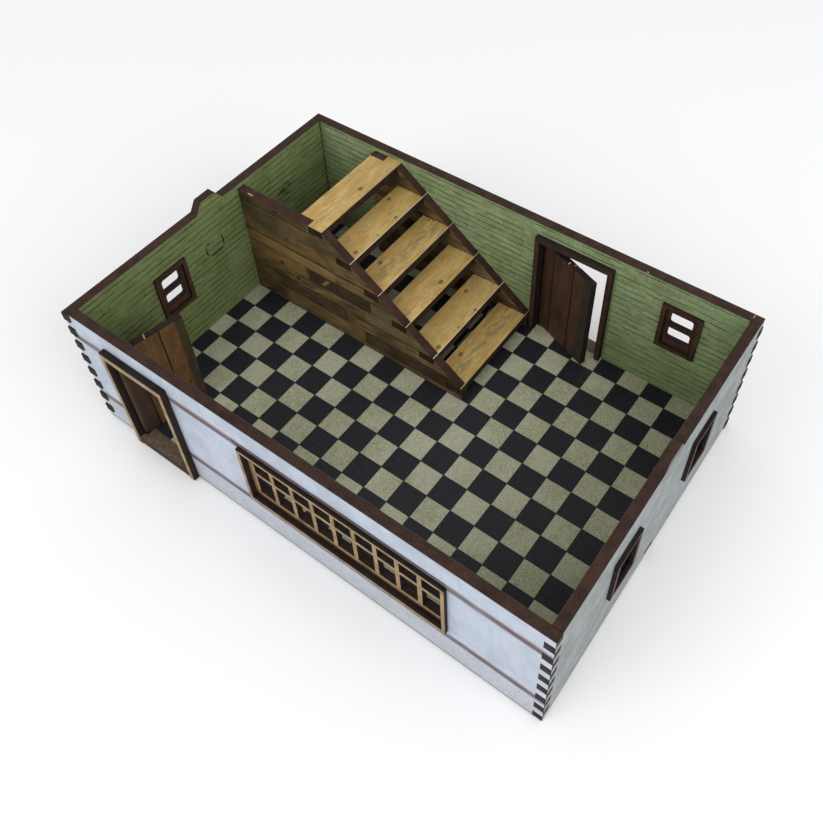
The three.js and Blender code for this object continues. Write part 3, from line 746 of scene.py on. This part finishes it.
def door_boards(name, dark, light, strip_start, hinge_shade):
    """Upright brown boards in the leaf's own place, carried in 'leaf_place': X from the hinge line, Y
    through the leaf and Z up, in millimetres. A darker mottled strip runs down the free edge of the
    right-hand face, and hinge_shade says how strongly painted shade darkens the board beside the hinge."""
    door = Finish(name, place="leaf_place")
    grain = door.cloud(0.4, stretch=(1, 1, 16), detail=4)
    fibre = door.cloud(1.1, stretch=(1, 1, 8), detail=4, shift=(5, 5, 2))
    cloudy = door.cloud(8.0, stretch=(0.5, 1, 1.6), detail=3)
    colour = door.mix(door.spread(cloudy, 0.3, 0.7), ink(*dark), ink(*light))
    colour = door.lay(colour, toned(light, 1.2), door.spread(fibre, 0.45, 0.75), 0.45)
    colour = door.lay(colour, toned(dark, 0.62), door.spread(grain, 0.48, 0.72), 0.6)
    # Painted shade from the doorway's reveal darkens the board beside the hinge, as strongly as hinge_shade
    # says.
    first = door.stripe(door.x, -2, 4.7, 0.3)
    colour = door.lay(colour, toned(dark, 0.45), first, hinge_shade)
    mottle = door.sum("ADD", 0.55, door.scaled(door.spread(door.cloud(1.8, detail=4), 0.35, 0.65), 0.45))
    strip = door.spread(door.x, strip_start - 0.4, strip_start + 0.4)
    side = door.spread(door.y, -0.4, -0.8)
    strip = door.sum("MULTIPLY", door.sum("MULTIPLY", strip, side), mottle)
    colour = door.lay(colour, (36, 37, 28), strip, 0.85)
    for at in groove_places:
        groove = door.stripe(door.x, at - 0.28, at + 0.28, 0.2)
        colour = door.lay(colour, (24, 14, 10), groove, 0.8)
    for at, level in ((17.3, 34.5), (9.6, 22.4), (18.6, 15.2)):
        knot = door.spot(door.x, door.z, at, level, 0.5, 0.95)
        colour = door.lay(colour, (34, 20, 14), knot, 0.8)
    rough = door.sum("ADD", 0.48, door.scaled(grain, 0.3))
    return door.done(colour, rough, grain, 0.07, specular=0.4)


def ring_faces(rings, steps):
    """Faces of a closed skin over rings of steps points each: a four-sided face between neighbouring
    points of two rings, and one flat face over either end."""
    index = np.arange(rings * steps).reshape(rings, steps)
    after = np.roll(index, -1, axis=1)
    faces = np.stack([index[:-1], after[:-1], after[1:], index[1:]], -1).reshape(-1, 4).tolist()
    return faces + [index[0][::-1].tolist(), index[-1].tolist()]


def hinge_peg(low, high):
    """Points and faces of a round peg on the leaf's hinge line, eased at both ends: each (radius, height)
    of its profile goes round at (radius * cos a, radius * sin a, height)."""
    radius, ease, steps = 0.95, 0.12, 20
    inner = radius - ease
    profile = np.array([(inner, low), (radius, low + ease), (radius, high - ease), (inner, high)])
    turn = np.arange(steps) * 2 * np.pi / steps
    x = profile[:, :1] * np.cos(turn)
    y = profile[:, :1] * np.sin(turn)
    z = profile[:, 1:] + 0 * turn
    return np.stack([x, y, z], -1).reshape(-1, 3), ring_faces(len(profile), steps)


def leaf_board():
    """The leaf's outline in plan, carried up its height. In plan it is a rectangle whose hinge edge is a
    half circle and whose faces dip in a V at each groove. Near the bottom and the top the outline draws
    in by a tenth of a millimetre, and a flat face closes each end."""
    half, width, low, high, ease = 1.15, 22.85, 4.3, 44.6, 0.12
    groove_half, groove_depth = 0.26, 0.34
    plan = [(0.0, half)]
    angle = np.linspace(math.pi / 2, 3 * math.pi / 2, 13)[1:-1]
    plan += list(zip(half * np.cos(angle), half * np.sin(angle)))
    plan.append((0.0, -half))
    for side in (-1, 1):
        face = [(at + d, side * (half - groove_depth * (d == 0))) for at in groove_places
                for d in (-groove_half, 0.0, groove_half)]
        face += [(width - ease, side * half), (width, side * (half - ease))]
        plan += face if side < 0 else face[::-1]
    plan = np.array(plan, float)
    ahead = np.roll(plan, -1, axis=0) - np.roll(plan, 1, axis=0)
    outward = np.stack([ahead[:, 1], -ahead[:, 0]], -1)
    outward /= np.linalg.norm(outward, axis=1, keepdims=True)
    levels = np.concatenate([[low, low + ease], np.linspace(low + 2, high - 2, 10), [high - ease, high]])
    drawn = np.where((levels == low) | (levels == high), ease, 0.0)
    flat = plan[None] - outward[None] * drawn[:, None, None]
    rise = np.broadcast_to(levels[:, None, None], flat.shape[:2] + (1,))
    points = np.concatenate([flat, rise], -1).reshape(-1, 3)
    return points, ring_faces(len(levels), len(plan))


def torn_nub(middle, size, seed):
    """Stub left where a piece was snapped out of its sheet: an ellipsoid whose radius is roughened by
    seeded noise. Points are middle + size * (cos u cos v, sin u cos v, sin v)."""
    rings, steps = 9, 14
    v = np.linspace(-math.pi / 2 + 0.25, math.pi / 2 - 0.25, rings)[:, None]
    u = np.arange(steps)[None] * 2 * math.pi / steps
    rough = 1 + np.random.default_rng(seed).uniform(-0.25, 0.25, (rings, steps))
    x, y, z = rough * np.cos(u) * np.cos(v), rough * np.sin(u) * np.cos(v), np.sin(v) + 0 * u
    points = np.stack([x, y, z], -1).reshape(-1, 3) * np.array(size) + np.array(middle)
    return points, ring_faces(rings, steps)


def joined(shells):
    """Several closed shells as one: all their points, all their faces, and each face's shell number."""
    points, faces, parts = [], [], []
    for part, (shell_points, shell_faces) in enumerate(shells):
        start = sum(len(p) for p in points)
        points.append(shell_points)
        faces += [[start + corner for corner in face] for face in shell_faces]
        parts += [part] * len(shell_faces)
    return np.concatenate(points), faces, np.array(parts)


def torn_fibre():
    """Pale torn fibre of a snapped stub, mottled with light brown."""
    torn = Finish("torn_fibre")
    fibre = torn.cloud(0.25, detail=4)
    colour = torn.mix(torn.spread(fibre, 0.3, 0.7), ink(156, 122, 102), ink(206, 178, 154))
    rough = torn.sum("ADD", 0.7, torn.scaled(fibre, 0.25))
    return torn.done(colour, rough, fibre, 0.08, specular=0.25)


fibre_stub = torn_fibre()
leaves = {
    "front_door": dict(
        body="front_door_leaf", pivot=(-67.7, -57.25), degrees=78.0, stubs=(9.9, 10.2),
        wood=dict(dark=(76, 52, 26), light=(108, 75, 38), strip_start=19.9, hinge_shade=0.8),
    ),
    "back_door": dict(
        body="back_door_leaf", pivot=(13.95, 57.25), degrees=-20.0, stubs=(11.2, 13.1),
        wood=dict(dark=(50, 32, 23), light=(78, 51, 35), strip_start=19.0, hinge_shade=0.2),
    ),
}
for node, leaf in leaves.items():
    first_stub, second_stub = leaf["stubs"]
    shells = [
        leaf_board(),
        hinge_peg(44.5, 46.8),
        hinge_peg(1.6, 4.4),
        torn_nub((first_stub, -0.5, 44.56), (0.24, 0.6, 0.14), 5),
        torn_nub((second_stub, 0.55, 44.56), (0.18, 0.5, 0.11), 6),
    ]
    own, faces, parts = joined(shells)
    turn = math.radians(leaf["degrees"])
    pivot_x, pivot_y = leaf["pivot"]
    placed = own.copy()
    placed[:, 0] = pivot_x + own[:, 0] * math.cos(turn) - own[:, 1] * math.sin(turn)
    placed[:, 1] = pivot_y + own[:, 0] * math.sin(turn) + own[:, 1] * math.cos(turn)
    mesh = bpy.data.meshes.new(f"{node}_leaf_mesh")
    mesh.from_pydata(placed / 1000, [], faces)
    carried = mesh.attributes.new("leaf_place", "FLOAT_VECTOR", "POINT")
    carried.data.foreach_set("vector", own.astype(np.float32).reshape(-1))
    for finish in (door_boards(f"{node}_board_print", **leaf["wood"]), dark_edge, fibre_stub):
        mesh.materials.append(finish)
    normals = np.empty(len(mesh.polygons) * 3)
    mesh.polygons.foreach_get("normal", normals)
    normals = normals.reshape(-1, 3)
    across = normals[:, 0] * math.cos(turn) + normals[:, 1] * math.sin(turn)
    edge_face = (np.abs(normals[:, 2]) > 0.3) | (across > 0.3)
    # Shell 0 is the board, shells 1 and 2 are the pegs, and the others are the stubs.
    finish_index = np.where(parts >= 3, 2, np.where((parts > 0) | edge_face, 1, 0))
    mesh.polygons.foreach_set("material_index", finish_index.astype(np.int32))
    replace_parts(mounted(f"{node}_leaf", mesh, leaf["body"]), node)

# ---------------------------------------------------------------- stubs on the walls and stringer
# Where the sheets were snapped out of their boards, a stub of pale fibre is left on the cut edge: one
# long stub on the front stringer's level edge, a small one on the rear wall and one at its corner joint.

stubs = {
    "stringer_stub": ((-77.2, 13.0, 51.6), (1.3, 0.26, 0.1), 21),
    "rear_wall_stub": ((49.5, 55.62, 53.38), (0.32, 0.26, 0.15), 22),
    "corner_stub": ((83.05, 57.4, 53.4), (0.13, 0.85, 0.08), 23),
}
for name, (middle, size, seed) in stubs.items():
    points, faces = torn_nub(middle, size, seed)
    mesh = bpy.data.meshes.new(f"{name}_mesh")
    mesh.from_pydata(points / 1000, [], faces)
    mesh.materials.append(fibre_stub)
    mounted(name, mesh, "building")

# ---------------------------------------------------------------- scratches on the left wall
# Two dark scribbled marks scored in the green brick print: an open square and a hatched patch. Each
# stroke is a thin bead of charcoal laid half into the print.

stroke_radius, print_surface = 0.3, -82.8


def scratch(path, radius):
    """Bead swept along a polyline that lies on the wall: each point of the path carries an ellipse of
    eight points, as wide as two radii and half as deep, which thins towards both ends."""
    path = np.array(path, float)
    spans = np.linspace(0, 1, 6)[None, :, None]
    dense = (path[:-1, None] * (1 - spans) + path[1:, None] * spans).reshape(-1, 2)
    keep = np.concatenate([[True], np.linalg.norm(np.diff(dense, axis=0), axis=1) > 1e-6])
    dense = dense[keep]
    ahead = np.gradient(dense, axis=0)
    ahead /= np.linalg.norm(ahead, axis=1, keepdims=True)
    side = np.stack([-ahead[:, 1], ahead[:, 0]], -1)
    taper = np.clip(np.minimum(np.arange(len(dense)), np.arange(len(dense))[::-1]) / 2, 0.15, 1)
    around = 8
    turn = np.arange(around) * 2 * np.pi / around
    reach = (radius * taper)[:, None]
    off_wall = reach * np.sin(turn) * 0.5
    y = dense[:, :1] + side[:, :1] * reach * np.cos(turn)
    z = dense[:, 1:] + side[:, 1:] * reach * np.cos(turn)
    points = np.stack([off_wall, y, z], -1).reshape(-1, 3)
    return points, ring_faces(len(dense), around)


def scratch_ink():
    """Charcoal-dark scored line, greener in patches."""
    line = Finish("scored_line")
    grain = line.cloud(0.5, detail=4)
    colour = line.mix(line.spread(grain, 0.35, 0.7), ink(26, 32, 20), ink(58, 72, 44))
    rough = line.sum("ADD", 0.7, line.scaled(grain, 0.2))
    return line.done(colour, rough, grain, 0.05, specular=0.2)


marks = {
    "open_square_scratch": [
        [(-5.9, 38.6), (-6.1, 36.0), (-5.6, 34.2)], [(-5.2, 33.6), (-2.4, 33.3), (0.4, 33.5), (1.2, 33.9)],
        [(1.5, 34.2), (1.7, 36.8), (1.3, 39.2)], [(-5.6, 39.2), (-4.2, 39.4)],
    ],
    "hatched_scratch": [
        [(29.6, 37.6), (30.4, 35.2)], [(30.6, 38.8), (31.4, 34.6)], [(31.4, 39.4), (32.6, 33.9)],
        [(32.6, 39.2), (33.4, 34.2)], [(31.2, 36.6), (34.8, 35.6)], [(32.0, 34.6), (36.2, 33.4)],
        [(33.6, 38.6), (36.4, 38.2)], [(34.2, 37.4), (36.8, 36.9)],
    ],
}
scored = scratch_ink()
for name, strokes in marks.items():
    points, faces, _ = joined([scratch(stroke, stroke_radius) for stroke in strokes])
    placed = points + np.array([print_surface, 0, 0])
    mesh = bpy.data.meshes.new(f"{name}_mesh")
    mesh.from_pydata(placed / 1000, [], faces)
    build = bmesh.new()
    build.from_mesh(mesh)
    bmesh.ops.recalc_face_normals(build, faces=build.faces)
    build.to_mesh(mesh)
    build.free()
    mesh.materials.append(scored)
    mounted(name, mesh, "building")

# ---------------------------------------------------------------- table, light and camera
# A pale matt table top under two wide soft lamps, one over the street side and one off the right end,
# with even light from everywhere else. The camera looks down over the near right corner.

span, drop = 1.5, -0.0002
table_mesh = bpy.data.meshes.new("table_top_mesh")
table_mesh.from_pydata(
    [(-span, -span, drop), (span, -span, drop), (span, span, drop), (-span, span, drop)], [], [(0, 1, 2, 3)],
)
table = bpy.data.objects.new("table_top", table_mesh)
bpy.context.scene.collection.objects.link(table)
paint = Finish("pale_table_paint")
grain = paint.cloud(1.2, detail=3)
table_colour = paint.mix(paint.scaled(grain, 0.2), ink(250, 250, 250), ink(246, 246, 247))
table_mesh.materials.append(paint.done(table_colour, 0.8, grain, 0.01, specular=0.1))

scene = bpy.context.scene
scene.view_settings.view_transform = "Standard"
world = bpy.data.worlds.new("soft_room")
world.use_nodes = True
background = world.node_tree.nodes["Background"]
background.inputs["Color"].default_value = (1.0, 1.0, 1.0, 1.0)
background.inputs["Strength"].default_value = 0.78
scene.world = world


def softbox(name, place, aim, size, watts):
    """Square lamp of the given side, at place and facing aim."""
    lamp = bpy.data.lights.new(name, "AREA")
    lamp.shape = "SQUARE"
    lamp.size = size
    lamp.energy = watts
    held = bpy.data.objects.new(name, lamp)
    held.location = place
    held.rotation_euler = (Vector(aim) - Vector(place)).to_track_quat("-Z", "Y").to_euler()
    scene.collection.objects.link(held)


softbox("street_softbox", (-0.25, -0.75, 0.62), (0, 0, 0.02), 0.55, 2.2)
softbox("end_softbox", (0.7, -0.1, 0.6), (0, 0, 0.02), 0.5, 2.6)

camera_data = bpy.data.cameras.new("camera")
camera_data.sensor_width = 36.0
camera_data.lens = 40.677
camera_data.shift_x = -0.03165
camera_data.shift_y = -0.14030
camera_data.clip_start = 0.01
camera = bpy.data.objects.new("camera", camera_data)
camera.location = (0.11524, -0.13759, 0.26122)
camera.rotation_euler = (math.radians(41.87), math.radians(1.09), math.radians(36.00))
scene.collection.objects.link(camera)
scene.camera = camera
